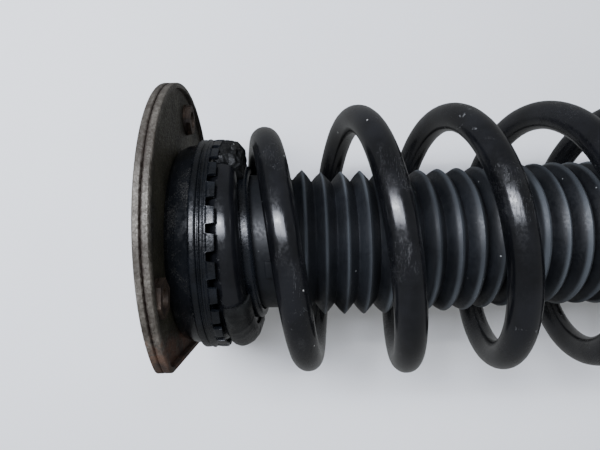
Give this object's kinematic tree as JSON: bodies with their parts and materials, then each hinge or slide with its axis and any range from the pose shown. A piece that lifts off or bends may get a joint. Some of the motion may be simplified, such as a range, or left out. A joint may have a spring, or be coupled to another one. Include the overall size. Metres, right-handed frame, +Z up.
{
  "type": "rear shock absorber",
  "caption": "Coil-over rear damper with a bolted round top plate with one flat side, rubber spring pad, pleated dust boot, coil spring and a bushed lower eye.",
  "frame": {"origin": "centre of the lower eye's bore, with the damper at full extension", "axes": "+Z up along the strut axis towards the body plate, Y along the lower eye's bolt, -X towards the flange's flat side"},
  "size_m": [0.1389, 0.14, 0.518],
  "materials": {
    "flange_steel": "rusted bare steel",
    "nut_steel": "rusty",
    "seat_paint": "worn satin black",
    "pad_rubber": "satin moulded",
    "block_rubber": "rough",
    "sleeve_rubber": "satin",
    "spring_coat": "gloss black",
    "boot_rubber": "matte moulded",
    "zinc_steel": "zinc plated",
    "bush_rubber": "matte",
    "stop_foam": "matte foam",
    "rod_chrome": "polished",
    "sintered_iron": "sintered",
    "bush_bronze": "plain",
    "band_ptfe": "plain",
    "seal_rubber": "plain",
    "shim_steel": "ground",
    "tube_steel": "drawn",
    "tube_paint": "satin black"
  },
  "bodies": {
    "top_mount": {"body_plate": "flange_steel", "spring_side_plate": "flange_steel", "weld_nuts": "nut_steel", "mount_housing": "zinc_steel", "mount_bush": "bush_rubber", "mount_sleeve": "zinc_steel", "rebound_washer": "zinc_steel", "rod_nut": "zinc_steel", "bump_washer": "zinc_steel", "bump_stop_cup": "zinc_steel", "bump_stop": "stop_foam", "upper_spring_seat": "seat_paint", "upper_spring_pad": "pad_rubber", "spring_end_stop": "block_rubber", "spring_sleeve": "sleeve_rubber", "coil_spring": "spring_coat", "dust_boot": "boot_rubber", "piston_rod": "rod_chrome", "rebound_stop": "seal_rubber", "rebound_collar": "shim_steel", "piston": "sintered_iron", "piston_band": "band_ptfe", "piston_shims": "shim_steel", "piston_nut": "zinc_steel"},
    "damper": {"outer_tube": "tube_paint", "tube_cap": "tube_paint", "oil_seal": "seal_rubber", "rod_guide": "sintered_iron", "guide_bush": "bush_bronze", "inner_cylinder": "tube_steel", "base_valve": "sintered_iron", "base_valve_shims": "shim_steel", "base_valve_rivet": "shim_steel", "base_cup": "tube_paint", "lower_spring_pan": "tube_paint", "lower_spring_pad": "bush_rubber", "eye_ring": "tube_paint", "eye_bush_shell": "tube_steel", "eye_bush_rubber": "bush_rubber"},
    "lower_sleeve": {"eye_sleeve": "zinc_steel"}
  },
  "joints": [
    {"name": "compression", "type": "slide", "parent": "top_mount", "child": "damper", "axis": [0, 0, 1], "range_m": [0, 0.12], "stiffness_N_per_m": 22000, "springref_m": -0.03, "deforming": ["coil_spring", "dust_boot", "bump_stop"]},
    {"name": "bush_twist", "type": "hinge", "parent": "damper", "child": "lower_sleeve", "pos_m": [0, 0, 0], "axis": [0, 1, 0], "range_deg": [-15, 15], "stiffness_Nm_per_rad": 60}
  ]
}
